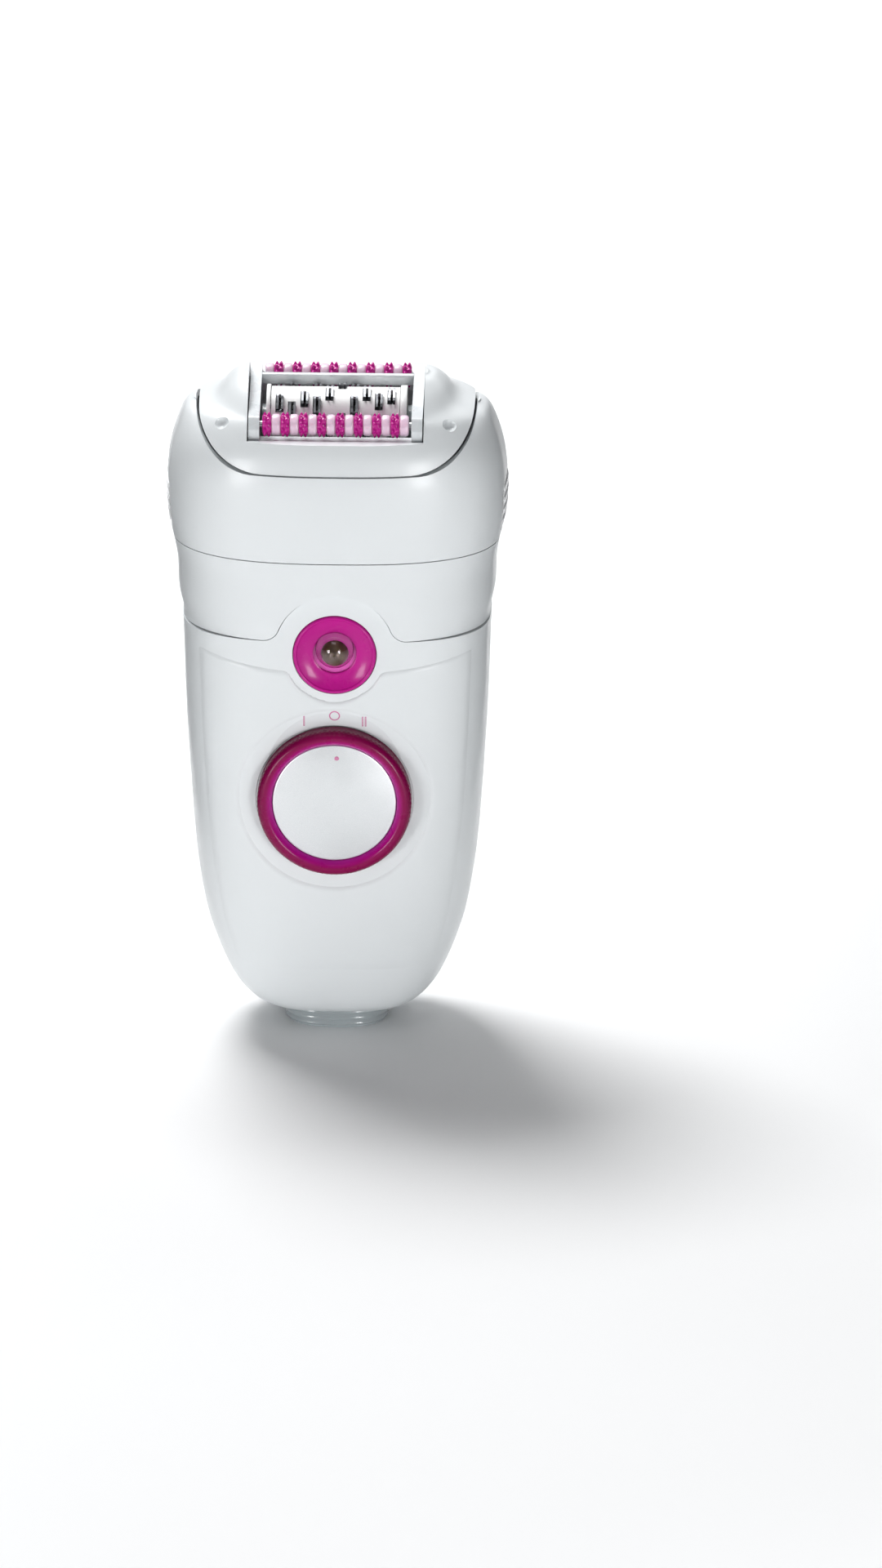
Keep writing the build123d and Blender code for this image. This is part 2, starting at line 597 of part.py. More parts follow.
def drive_train():
    idler_y, idler_z, idler_phase, drum_phase = gear_places()

    pinion = along_z(Pos(0, DRIVE_Y) * gear_sketch(PINION_TEETH, 0.0, 0.8, 1.1), 94.6, 100)
    pinion += rod_z(2.6, 88, 94.8, 0, DRIVE_Y)
    pinion -= rod_z(SHAFT_RADIUS + 0.02, 80, 110, 0, DRIVE_Y)
    keep("drive_pinion", pinion)

    pitch_x = PINION_TEETH * MODULE / 2
    crown_radius = CROWN_TEETH * MODULE / 2
    face_x = pitch_x + 0.75
    gear = rod_x(crown_radius + 0.9, face_x, face_x + 1.3, CROWN_Y, CROWN_Z)
    gear += rod_x(2.8, face_x, face_x + 4.0, CROWN_Y, CROWN_Z)
    tip_half, root_half = 0.2, 0.62
    rib = make_face(
        Polyline(
            (pitch_x - 0.55, -tip_half),
            (face_x + 0.1, -root_half),
            (face_x + 0.1, root_half),
            (pitch_x - 0.55, tip_half),
            close=True,
        )
    )
    rib = extrude(rib, amount=0.9, dir=(0, 0, 1))  # radial from here on
    for i in range(CROWN_TEETH):
        turn = 360 * (i + 0.5) / CROWN_TEETH
        place = Pos(0, CROWN_Y, CROWN_Z) * Rot(turn, 0, 0) * Pos(0, 0, -crown_radius - 0.45)
        gear += place * rib
    for i in range(6):
        window = Pos(face_x, CROWN_Y, CROWN_Z) * Rot(60 * i, 0, 0) * Pos(0, 0, 5)
        gear -= window * Rot(0, 90, 0) * Cylinder(1.5, 6)
    gear -= rod_x(1.22, 0, 20, CROWN_Y, CROWN_Z)
    keep("crown_gear", gear)
    keep("crown_shaft", rod_x(1.2, -14.8, 14.8, CROWN_Y, CROWN_Z))

    train = along_x(Pos(CROWN_Y, CROWN_Z) * gear_sketch(TRAIN_TEETH), GEAR_X0, GEAR_X1)
    train -= rod_x(1.22, 0, 20, CROWN_Y, CROWN_Z)
    keep("train_pinion", train)

    idler = Pos(idler_y, idler_z) * gear_sketch(IDLER_TEETH, idler_phase)
    idler = along_x(idler, GEAR_X0, GEAR_X1)
    idler -= rod_x(1.0 + RUNNING, 0, 20, idler_y, idler_z)
    keep("idler_gear", idler)
    pin = rod_x(1.0, GEAR_X0 - 0.2, WALL_X1, idler_y, idler_z)
    keep("idler_pin", pin)

    drum_gear = Pos(DRUM_Y, DRUM_Z) * gear_sketch(DRUM_TEETH, drum_phase)
    drum_gear = along_x(drum_gear, GEAR_X0, GEAR_X1)
    drum_gear += rod_x(2.4, DRUM_X1, GEAR_X0 + 0.1, DRUM_Y, DRUM_Z)
    drum_gear -= rod_x(AXLE_RADIUS + 0.02, 0, 20, DRUM_Y, DRUM_Z)
    keep("drum_gear", drum_gear)


# ---------------------------------------------------------------- tweezer drum
ROD_CIRCLE = 4.7
CLOSER_ROD = 0.5
PUSHER_X = -13.95
PUSHER_WIDTH = 0.35


def rod_places():
    for i in range(4):
        turn = math.radians(90 * i + 45)
        yield (
            DRUM_Y + ROD_CIRCLE * math.cos(turn),
            DRUM_Z + ROD_CIRCLE * math.sin(turn),
        )


def claw_sketch(turn):
    """Plate with four arms that flare at their tips."""
    plate = Sketch() + Circle(5.7)
    flare = make_face(
        Polyline(
            (4.8, -1.1),
            (6.3, -1.0),
            (CLAW_RADIUS - 0.15, -1.9),
            (CLAW_RADIUS, -1.2),
            (CLAW_RADIUS, 1.2),
            (CLAW_RADIUS - 0.15, 1.9),
            (6.3, 1.0),
            (4.8, 1.1),
            close=True,
        )
    )
    for i in range(4):
        plate += Rot(0, 0, 90 * i) * flare
    return Pos(DRUM_Y, DRUM_Z) * Rot(0, 0, turn) * (plate - Circle(HUB_RADIUS + 0.04))


def pocket_sketch(turn):
    """Ring round the hub for a pair of plates, with a window for each claw."""
    pocket = Sketch() + Circle(POCKET_RADIUS)
    for i in range(4):
        pocket += Rot(0, 0, 90 * i) * Pos(6, 0) * Rectangle(6, CLAW_WINDOW)
    return Pos(DRUM_Y, DRUM_Z) * Rot(0, 0, turn) * (pocket - Circle(HUB_RADIUS))


def tweezer_drum():
    keep("drum_axle", rod_x(AXLE_RADIUS, -14.9, 14.9, DRUM_Y, DRUM_Z))
    pitch = (DRUM_X1 - DRUM_X0 - DISC_WIDTH) / len(CLAW_TURNS)
    core = rod_x(DRUM_RADIUS, DRUM_X0, DRUM_X1, DRUM_Y, DRUM_Z)
    core -= rod_x(AXLE_RADIUS + 0.02, -20, 20, DRUM_Y, DRUM_Z)
    for y, z in rod_places():
        core -= rod_x(CLOSER_ROD + 0.1, -20, 20, y, z)

    fixed, moving = [], []
    for i, turn in enumerate(CLAW_TURNS):
        far = DRUM_X0 + pitch * (i + 1)  # near face of the next web
        core -= along_x(pocket_sketch(turn), far - pitch + DISC_WIDTH, far)
        sketch = claw_sketch(turn)
        plate = along_x(sketch, far - PLATE, far)
        for y, z in rod_places():
            plate -= rod_x(CLOSER_ROD + 0.1, -20, 20, y, z)
        fixed.append(plate)
        near = far - 2 * PLATE - CLAW_GAP
        moving.append(along_x(sketch, near, near + PLATE))
    keep("drum_core", core)
    keep("fixed_tweezers", *fixed)
    closer = rod_x(5.9, PUSHER_X, PUSHER_X + PUSHER_WIDTH, DRUM_Y, DRUM_Z)
    closer -= rod_x(2.6, -20, 0, DRUM_Y, DRUM_Z)
    for y, z in rod_places():
        closer += rod_x(CLOSER_ROD, PUSHER_X, DRUM_X1 - 0.8, y, z)
    for plate in moving:
        closer += plate
    keep("moving_tweezers", closer)


# ---------------------------------------------------------------- head shells and chassis
def saddle_sketch(half, floor, corner):
    """Opening of the head that the massage cap sits in, seen from the front."""
    top = 150
    wide = half + SADDLE_FLARE * (top - floor)
    outline = make_face(
        Polyline((-half, floor), (half, floor), (wide, top), (-wide, top), close=True)
    )
    return fillet([v for v in outline.vertices() if v.Y < floor + 1], corner)


def button_sketch(grow=0.0):
    height = BUTTON_Z1 - BUTTON_Z0 + 2 * grow
    middle = Pos(0, (BUTTON_Z0 + BUTTON_Z1) / 2)
    return middle * RectangleRounded(2 * (BUTTON_HALF + grow), height, 3.2 + grow)


def head_shells():
    outer = form(HEAD, HEAD_POWER)
    inner = form(HEAD, HEAD_POWER, inset=WALL)
    skirt = (outer - inner) & slab(HANDLE_TOP + SEAM / 2, HEAD_SEAM - SEAM / 2)
    skirt -= along_y(arch_sketch(SEAM / 2), -REACH, -8)
    keep("head_skirt", skirt)

    horn_room = block(SADDLE_HALF, REACH, -REACH, REACH, 118.6, 150)
    hollow = inner - horn_room - mirrored(horn_room)
    upper = (outer & slab(HEAD_SEAM + SEAM / 2, 150)) - hollow
    upper -= along_y(saddle_sketch(SADDLE_HALF, SADDLE_FLOOR, SADDLE_CORNER), -REACH, REACH)
    upper -= along_x(button_sketch(BUTTON_PLAY), -REACH, -20)
    upper -= along_x(button_sketch(BUTTON_PLAY), 20, REACH)
    keep("head_shell", upper)


def chassis_wall(x0, x1):
    foot = Polyline((-8, 96), (10, 96), (2.3, DRUM_Z), (-4.3, DRUM_Z), close=True)
    sketch = make_face(foot) + Pos(DRUM_Y, DRUM_Z) * Circle(3.4)
    sketch += Pos(CROWN_Y, CROWN_Z) * Circle(3.4)
    return along_x(sketch, x0, x1)


def head_chassis():
    roof_low, roof_high = 94.4, 96.4
    roof = form(HEAD, HEAD_POWER, inset=WALL + 0.05) & slab(roof_low, roof_high)
    collar = along_z(oval(NECK_HALF_X + 1.9, NECK_HALF_Y + 1.6), HANDLE_TOP + 1, roof_high)
    socket = along_z(oval(NECK_HALF_X + 0.25, NECK_HALF_Y + 0.25), 80, roof_low)
    chassis = roof + Pos(0, DRIVE_Y, 0) * collar - Pos(0, DRIVE_Y, 0) * socket
    chassis -= block(-14, 14, -30, -13.6, 80, 100)
    chassis -= rod_z(5.0, 80, 110, 0, DRIVE_Y)
    x0, x1, y0, y1 = LATCH_SLOT
    slot = block(x0, x1, y0, y1, 80, 100)
    post = block(24.6, 26.0, -2.2, 2.2, roof_high - 0.1, 114)
    chassis = chassis - slot - mirrored(slot) + post + mirrored(post)
    chassis += chassis_wall(WALL_X0, WALL_X1) + chassis_wall(-WALL_X1, -WALL_X0)
    chassis -= rod_x(1.2 + RUNNING, -20, 20, CROWN_Y, CROWN_Z)
    chassis -= rod_x(2.42, -20, 20, DRUM_Y, DRUM_Z)
    idler_y, idler_z, _, _ = gear_places()
    chassis -= rod_x(1.02, 10, 20, idler_y, idler_z)
    screws = []
    for x in (-19, 19):
        chassis -= rod_z(1.0, 90, 100, x, -3)
        screws.append(rod_z(0.95, 94.8, 96.4, x, -3) + rod_z(1.9, 96.4, 97.6, x, -3))
    keep("head_chassis", chassis)
    keep("chassis_screws", *screws)
    bushes = []
    for low, high in ((WALL_X0, WALL_X1), (-WALL_X1, -WALL_X0)):
        bush = rod_x(2.4, low, high, DRUM_Y, DRUM_Z)
        bushes.append(bush - rod_x(AXLE_RADIUS + RUNNING, -20, 20, DRUM_Y, DRUM_Z))
    keep("drum_bushes", *bushes)


# ---------------------------------------------------------------- release buttons
SPRING_X0, SPRING_X1 = 26.05, 30.2
SPRING_Z = 111.7


def release_buttons():
    """Ribbed push pads in the head's sides, each with a latch arm down into the handle."""
    pad = form(HEAD, HEAD_POWER, inset=0.12) - form(HEAD, HEAD_POWER, inset=2.4)
    pad &= along_x(button_sketch(), 20, REACH)
    raised = form(HEAD, HEAD_POWER, inset=-0.13) - form(HEAD, HEAD_POWER, inset=0.5)
    ribs = Sketch()
    for i in range(4):
        ribs += Pos(0, 108.2 + 2.33 * i) * RectangleRounded(10.4, 1.1, 0.5)
    pad += raised & along_x(ribs, 20, REACH)
    flange = form(HEAD, HEAD_POWER, inset=2.3) - form(HEAD, HEAD_POWER, inset=3.4)
    flange &= along_x(button_sketch(0.7), 20, REACH)
    arm = block(25.2, 26.4, 3.2, 5.8, 83.2, 108)
    arm += block(25.2, 31.0, 3.2, 5.8, 106.6, 108)
    arm += block(26.3, 27.0, 3.2, 5.8, 83.2, 84.3)
    button = pad + flange + (arm & form(HEAD, HEAD_POWER, inset=3.2, rise=-4))
    turns = Helix(pitch=0.95, height=SPRING_X1 - SPRING_X0 - 0.5, radius=1.6)
    wire = Plane(origin=turns @ 0, z_dir=turns % 0) * Circle(0.22)
    coil = sweep(wire, path=turns)
    coil = Pos(SPRING_X0 + 0.25, 0, SPRING_Z) * Rot(0, 90, 0) * coil
    keep("release_button_right", button)
    keep("release_button_left", mirrored(button))
    keep("button_spring_right", coil)
    keep("button_spring_left", mirrored(coil))


# ---------------------------------------------------------------- massage cap and rollers
TILTED = Pos(0, DRUM_Y, DRUM_Z) * Rot(HEAD_TILT, 0, 0)
FRONT_LIP_Z = 129.2
REAR_LIP_Z = 131.6
DIMPLE_X, DIMPLE_Y, DIMPLE_Z = 23.0, -12.4, 132.1  # finger dimples in the cap's shoulders
DIMPLE_RADIUS = 1.6


def massage_cap():
    seat = saddle_sketch(SADDLE_HALF - SEAM, SADDLE_FLOOR + SEAM, SADDLE_CORNER + 1.5)
    body = form(CROWN, HEAD_POWER) & along_y(seat, -REACH, REACH)
    tongue = form(HEAD, HEAD_POWER, inset=WALL + 0.3) & slab(119.6, SADDLE_FLOOR + 1.2)
    tongue &= block(-17.4, 17.4, -REACH, REACH, 100, 140)
    body += tongue
    hollow = form(CROWN, HEAD_POWER, inset=WALL + 1.6, rise=-1.0)
    hollow += slab(100, 122) & form(HEAD, HEAD_POWER, inset=WALL + 1.9)
    sides = block(19.6, 26.9, -REACH, REACH, 100, 130.8)
    sides = (sides + mirrored(sides)) & hollow
    middle = block(-SLOT_HALF, SLOT_HALF, -REACH, REACH, 100, 200)
    sweep_room = rod_x(FRAME_SWEEP, -SLOT_HALF, SLOT_HALF, DRUM_Y, DRUM_Z)
    above = block(-SLOT_HALF, SLOT_HALF, -REACH, DRUM_Y, FRONT_LIP_Z, 200)
    above += block(-SLOT_HALF, SLOT_HALF, DRUM_Y, REACH, REAR_LIP_Z, 200)
    body = body - sides - (middle & hollow) - sweep_room - above
    body -= rod_x(TRUNNION + RUNNING, -19.7, 19.7, DRUM_Y, DRUM_Z)
    for side in (-1, 1):
        body -= Pos(side * DIMPLE_X, DIMPLE_Y, DIMPLE_Z) * Sphere(DIMPLE_RADIUS)
    keep("massage_cap", body)


def side_plate_sketch():
    outline = make_face(
        Polyline(
            (-13.5, 1.6),
            (-13.3, 5.2),
            (-11.8, 7.3),
            (-6.0, 7.0),
            (6.0, 7.0),
            (11.2, 7.5),
            (12.9, 5.6),
            (13.0, 2.8),
            (3.0, -2.6),
            (-3.0, -2.6),
            close=True,
        )
    )
    return fillet(outline.vertices(), 0.9)


def roller_frame():
    """Two side plates on trunnions, joined by a rear bar and by a comb under the front roller."""
    plate = side_plate_sketch()
    plates = []
    for side in (-1, 1):
        low, high = sorted((side * PLATE_X0, side * PLATE_X1))
        cheek = along_x(plate, low, high)
        low, high = sorted((side * (PLATE_X1 - 0.1), side * 19.4))
        cheek += rod_x(TRUNNION, low, high)
        for y in (-ROLLER_SPREAD, ROLLER_SPREAD):
            cheek -= rod_x(ROLLER_AXLE + RUNNING, -16.6, 16.6, y, ROLLER_RISE)
        plates.append(TILTED * cheek)
    keep("frame_cheeks", *plates)
    keep("frame_bar", TILTED * block(-PLATE_X0, PLATE_X0, 6.4, 7.6, 5.3, 7.0))
    comb = block(-PLATE_X0, PLATE_X0, -13.3, -9.3, 0.6, 1.6)
    for i in range(WHEEL_COUNT + 1):
        x = WHEEL_PITCH * (i - WHEEL_COUNT / 2) - ROLLER_STAGGER
        if abs(x) < PLATE_X0 - 0.6:
            comb += block(x - 0.45, x + 0.45, -13.7, -13.2, 0.6, 2.9)
    keep("frame_comb", TILTED * comb)


def star_sketch(points, outer, inner):
    """Spiked wheel outline."""
    corners = []
    for i in range(2 * points):
        radius = inner if i % 2 else outer
        turn = math.pi * i / points
        corners.append((radius * math.cos(turn), radius * math.sin(turn)))
    return make_face(Polyline(*corners, close=True))


def massage_roller(name, y, stagger):
    place = Pos(0, y, ROLLER_RISE)
    axle = rod_x(ROLLER_AXLE, -16.4, 16.4)
    wheels, beads = [], []
    bore = rod_x(ROLLER_AXLE + 0.02, -20, 20)
    for i in range(WHEEL_COUNT):
        x = WHEEL_PITCH * (i - (WHEEL_COUNT - 1) / 2) + stagger
        wheel = along_x(star_sketch(10, WHEEL_RADIUS, 2.05), x - 0.45, x + 0.45)
        wheel += rod_x(2.1, x - WHEEL_WIDTH / 2, x + WHEEL_WIDTH / 2)
        wheels.append(wheel - bore)
    edge = WHEEL_WIDTH / 2 + 0.03
    first = -WHEEL_PITCH * (WHEEL_COUNT - 1) / 2 + stagger
    limit = PLATE_X0 - 0.25
    for i in range(WHEEL_COUNT + 1):
        x0 = first + WHEEL_PITCH * (i - 1) + edge
        x1 = first + WHEEL_PITCH * i - edge
        x0, x1 = max(x0, -limit), min(x1, limit)
        if x1 - x0 < 0.3:
            continue
        bead = rod_x(BEAD_RADIUS, x0, x1)
        bead = chamfer(bead.edges(), min(0.3, (x1 - x0) / 4))
        beads.append(bead - bore)
    keep(name + "_axle", TILTED * place * axle)
    keep(name + "_wheels", *[TILTED * place * w for w in wheels])
    keep(name + "_beads", *[TILTED * place * b for b in beads])


# ---------------------------------------------------------------- build everything
def main():
    handle_shells()
    housing_screws()
    neck_deck()
    power_socket()
    lamp()
    dial()
    speed_switch()
    circuit_board()
    leads()
    motor()
    motor_cradle()
    drive_train()
    tweezer_drum()
    head_shells()
    head_chassis()
    release_buttons()
    massage_cap()
    roller_frame()
    massage_roller("front_roller", -ROLLER_SPREAD, -ROLLER_STAGGER)
    massage_roller("rear_roller", ROLLER_SPREAD, ROLLER_STAGGER)

    os.makedirs("parts", exist_ok=True)
    for name, solids in PARTS.items():
        pieces = [piece for shape in solids for piece in shape.solids()]
        export_step(Compound(children=pieces), f"parts/{name}.step")


main()
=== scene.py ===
"""Looks of the epilator, built round its CAD frame.

Lengths are in millimetres and are turned into metres where a mesh, a light or the camera is made. Inside
the materials, noise scales are per metre and bump depths are in metres.
"""

import json
import math

import bpy
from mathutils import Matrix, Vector
from mathutils.bvhtree import BVHTree


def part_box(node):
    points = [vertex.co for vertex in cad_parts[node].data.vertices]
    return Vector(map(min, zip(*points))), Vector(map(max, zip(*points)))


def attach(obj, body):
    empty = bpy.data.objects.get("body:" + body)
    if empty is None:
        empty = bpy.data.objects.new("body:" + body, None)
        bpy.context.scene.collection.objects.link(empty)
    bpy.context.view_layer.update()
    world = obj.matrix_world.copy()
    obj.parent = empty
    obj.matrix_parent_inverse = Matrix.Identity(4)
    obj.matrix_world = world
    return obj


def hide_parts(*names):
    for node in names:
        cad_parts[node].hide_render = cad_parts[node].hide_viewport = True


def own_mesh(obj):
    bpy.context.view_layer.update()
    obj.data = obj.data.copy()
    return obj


MM = 0.001

bpy.ops.wm.read_factory_settings(use_empty=True)
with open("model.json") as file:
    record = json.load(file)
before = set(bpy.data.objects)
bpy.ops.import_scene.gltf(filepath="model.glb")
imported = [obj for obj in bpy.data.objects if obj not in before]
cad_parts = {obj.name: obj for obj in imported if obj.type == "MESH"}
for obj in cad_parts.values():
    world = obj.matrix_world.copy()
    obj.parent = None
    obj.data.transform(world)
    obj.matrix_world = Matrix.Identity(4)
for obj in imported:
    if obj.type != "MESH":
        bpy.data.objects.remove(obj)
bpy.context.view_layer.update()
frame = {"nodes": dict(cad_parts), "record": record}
nodes = frame["nodes"]
scene = bpy.context.scene


# ------------------------------------------------------------------ places taken from the frame
def corners(name):
    """Lowest and highest corners of a CAD node."""
    low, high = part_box(name)
    return Vector(low) / MM, Vector(high) / MM


def centre(name):
    low, high = corners(name)
    return (low + high) / 2


DIAL_Z = centre("dial_ring").z
SEAT_Y = corners("dial_ring")[1].y + 0.3  # the dial's seat, a hair behind the ring
LAMP_Z = centre("light_bezel").z
DRUM = centre("drum_axle")  # the tweezer drum turns here, and the roller frame pivots here
SPRING_Z = centre("button_spring_right").z
RING_INNER, RING_OUTER = 12.4, 15.5  # radii of the dial's ring


# ------------------------------------------------------------------ materials
def new_material(name):
    material = bpy.data.materials.new(name)
    material.use_nodes = True
    tree = material.node_tree
    return material, tree, tree.nodes["Principled BSDF"]


def wire(tree, start, end):
    tree.links.new(start, end)


def object_coords(tree, scale=(1, 1, 1)):
    coords = tree.nodes.new("ShaderNodeTexCoord")
    mapping = tree.nodes.new("ShaderNodeMapping")
    mapping.inputs["Scale"].default_value = scale
    wire(tree, coords.outputs["Object"], mapping.inputs["Vector"])
    return mapping.outputs["Vector"]


def noise(tree, vector, scale, detail, rough=0.5):
    node = tree.nodes.new("ShaderNodeTexNoise")
    node.inputs["Scale"].default_value = scale
    node.inputs["Detail"].default_value = detail
    node.inputs["Roughness"].default_value = rough
    wire(tree, vector, node.inputs["Vector"])
    return node.outputs["Fac"]


def spread(tree, value, low, high, at):
    node = tree.nodes.new("ShaderNodeMapRange")
    node.inputs["From Min"].default_value = at[0]
    node.inputs["From Max"].default_value = at[1]
    node.inputs["To Min"].default_value = low
    node.inputs["To Max"].default_value = high
    wire(tree, value, node.inputs["Value"])
    return node.outputs["Result"]


def ramp(tree, value, stops):
    node = tree.nodes.new("ShaderNodeValToRGB")
    while len(node.color_ramp.elements) < len(stops):
        node.color_ramp.elements.new(0.5)
    for element, (place, color) in zip(node.color_ramp.elements, stops):
        element.position = place
        element.color = (*color, 1.0)
    wire(tree, value, node.inputs["Fac"])
    return node.outputs["Color"]


def bump(tree, shader, height, distance):
    node = tree.nodes.new("ShaderNodeBump")
    node.inputs["Distance"].default_value = distance
    wire(tree, height, node.inputs["Height"])
    wire(tree, node.outputs["Normal"], shader.inputs["Normal"])


def plastic(name, color, rough, coat=0.0, coat_rough=0.05, vary=0.03, grain=900, depth=2e-5,
            subsurface=0.0, transmission=0.0, ior=1.5, specular=0.5):
    """Moulded plastic: slight mottling of its colour and gloss, and a fine moulded grain."""
    material, tree, shader = new_material(name)
    vector = object_coords(tree)
    cloud = noise(tree, vector, 60, 3)
    dark = tuple(c * (1 - vary) for c in color)
    light = tuple(min(1, c * (1 + vary)) for c in color)
    wire(tree, ramp(tree, cloud, [(0.3, dark), (0.7, light)]), shader.inputs["Base Color"])
    smudge = noise(tree, vector, 220, 4, 0.6)
    wire(tree, spread(tree, smudge, rough * 0.85, rough * 1.15, (0.3, 0.7)), shader.inputs["Roughness"])
    bump(tree, shader, noise(tree, vector, grain, 2), depth)
    shader.inputs["IOR"].default_value = ior
    shader.inputs["Specular IOR Level"].default_value = specular
    shader.inputs["Coat Weight"].default_value = coat
    shader.inputs["Coat Roughness"].default_value = coat_rough
    shader.inputs["Subsurface Weight"].default_value = subsurface
    shader.inputs["Subsurface Scale"].default_value = 0.002
    shader.inputs["Subsurface Radius"].default_value = (1.0, 0.8, 0.8)
    shader.inputs["Transmission Weight"].default_value = transmission
    return material


def metal(name, color, rough, scratch=0.12, along="X"):
    """Metal with fine scratches drawn out along one axis."""
    material, tree, shader = new_material(name)
    fine, drawn_out = 1500, 60
    scale = [drawn_out if axis == along else fine for axis in "XYZ"]
    lines = noise(tree, object_coords(tree, scale), 1.0, 3)
    dark = tuple(c * 0.82 for c in color)
    wire(tree, ramp(tree, lines, [(0.3, dark), (0.7, color)]), shader.inputs["Base Color"])
    gloss = spread(tree, lines, rough - scratch, rough + scratch, (0.3, 0.7))
    wire(tree, gloss, shader.inputs["Roughness"])
    bump(tree, shader, lines, 1e-5)
    shader.inputs["Metallic"].default_value = 1.0
    return material


WHITE = (0.77, 0.80, 0.815)
LOOKS = {
    "white_gloss": plastic("white_gloss", WHITE, rough=0.36, coat=0.22, coat_rough=0.14, vary=0.008,
                           grain=1500, depth=3e-6, specular=0.35),
    "white_satin": plastic("white_satin", (0.84, 0.85, 0.86), rough=0.30, coat=0.3, coat_rough=0.12,
                           vary=0.010, grain=2500, depth=5e-6),
    "frame_white": plastic("frame_white", (0.70, 0.73, 0.75), rough=0.28, coat=0.4, coat_rough=0.1,
                           vary=0.015, subsurface=0.2),
    "ring_magenta": plastic("ring_magenta", (0.20, 0.001, 0.055), rough=0.22, coat=0.8, coat_rough=0.06),
    "bezel_magenta": plastic("bezel_magenta", (0.50, 0.006, 0.25), rough=0.26, coat=0.15, vary=0.06,
                             specular=0.2),
    "wheel_magenta": plastic("wheel_magenta", (0.52, 0.010, 0.26), rough=0.25, coat=0.3, vary=0.08,
                             specular=0.3),
    "bead_lilac": plastic("bead_lilac", (0.86, 0.62, 0.76), rough=0.28, coat=0.4, subsurface=0.6),
    "grey_plastic": plastic("grey_plastic", (0.46, 0.51, 0.53), rough=0.35, coat=0.3, subsurface=0.3),
    "dark_plastic": plastic("dark_plastic", (0.02, 0.02, 0.022), rough=0.5, vary=0.15, depth=3e-5),
    "natural_plastic": plastic("natural_plastic", (0.72, 0.71, 0.66), rough=0.42, subsurface=0.3),
    "steel": metal("steel", (0.55, 0.56, 0.58), 0.32),
    "spring_steel": metal("spring_steel", (0.30, 0.31, 0.33), 0.36, along="Z"),
    "nickel": metal("nickel", (0.66, 0.65, 0.62), 0.22, 0.06),
    "brass": metal("brass", (0.66, 0.48, 0.20), 0.3),
    "copper": metal("copper", (0.58, 0.24, 0.11), 0.35, 0.1, "Z"),
    "iron": metal("iron", (0.10, 0.10, 0.11), 0.5, 0.08),
    "board_green": plastic("board_green", (0.012, 0.10, 0.035), rough=0.25, coat=0.5, vary=0.2),
    "lead_sleeve": plastic("lead_sleeve", (0.02, 0.02, 0.02), rough=0.4, vary=0.1),
    "dome_clear": plastic("dome_clear", (1.0, 0.86, 0.95), rough=0.03, transmission=1.0, ior=1.45,
                          vary=0.01),
    "lamp_amber": plastic("lamp_amber", (0.13, 0.115, 0.045), rough=0.35, coat=0.15, vary=0.25,
                          specular=0.3),
}
DRUM_WHITE = plastic("drum_white", (0.90, 0.905, 0.90), rough=0.4, coat=0.2, vary=0.01)
PRINT_PINK = plastic("print_pink", (0.60, 0.20, 0.37), rough=0.45, vary=0.05)
CLEAR_GREY = plastic("clear_grey", (0.50, 0.55, 0.57), rough=0.2, coat=0.5, transmission=0.35,
                     subsurface=0.2)
LAMP_PINK = plastic("lamp_pink", (0.72, 0.07, 0.46), rough=0.15, coat=0.6, vary=0.1)


def vector_math(tree, operation, vector, by=None):
    node = tree.nodes.new("ShaderNodeVectorMath")
    node.operation = operation
    wire(tree, vector, node.inputs[0])
    if by is not None:
        node.inputs[1].default_value = by
    return node


def painted_shade_ring_look():
    """Ring of the dial: painted shade darkens its outer bevel and a painted highlight brightens the slope
    towards the cap.
    """
    material, tree, shader = new_material("dial_ring_magenta_painted_shade")
    vector = object_coords(tree)
    offset = vector_math(tree, "SUBTRACT", vector, (0, 0, DIAL_Z * MM)).outputs["Vector"]
    flat = vector_math(tree, "MULTIPLY", offset, (1, 0, 1)).outputs["Vector"]
    radius = vector_math(tree, "LENGTH", flat).outputs["Value"]
    place = spread(tree, radius, 0, 1, (RING_INNER * MM, RING_OUTER * MM))
    # painted light: the colour runs from a painted highlight on the inner slope out to painted shade on the
    # outer bevel
    stops = [(0.0, (0.46, 0.006, 0.30)), (0.25, (0.38, 0.003, 0.18)), (0.45, (0.25, 0.001, 0.075)),
             (1.0, (0.17, 0.0, 0.045))]
    wire(tree, ramp(tree, place, stops), shader.inputs["Base Color"])
    smudge = noise(tree, vector, 300, 3)
    wire(tree, spread(tree, smudge, 0.24, 0.34, (0.3, 0.7)), shader.inputs["Roughness"])
    bump(tree, shader, noise(tree, vector, 1800, 2), 1e-5)
    shader.inputs["Specular IOR Level"].default_value = 0.15
    shader.inputs["Coat Weight"].default_value = 0.12
    shader.inputs["Coat Roughness"].default_value = 0.08
    return material


def cap_look():
    """Satin metallic paint with very fine flakes."""
    material, tree, shader = new_material("dial_cap_satin")
    vector = object_coords(tree)
    flakes = noise(tree, vector, 9000, 1)
    stops = [(0.35, (0.76, 0.785, 0.80)), (0.65, (0.83, 0.85, 0.86))]
    wire(tree, ramp(tree, flakes, stops), shader.inputs["Base Color"])
    smudge = noise(tree, vector, 200, 3)
    wire(tree, spread(tree, smudge, 0.28, 0.36, (0.3, 0.7)), shader.inputs["Roughness"])
    bump(tree, shader, flakes, 3e-6)
    shader.inputs["Metallic"].default_value = 0.8
    return material


for row in frame["record"]["subparts"]:
    node = nodes[row["node"]]
    node.data.materials.clear()
    node.data.materials.append(LOOKS[row["material_slot"]])
nodes["drum_core"].data.materials[0] = DRUM_WHITE


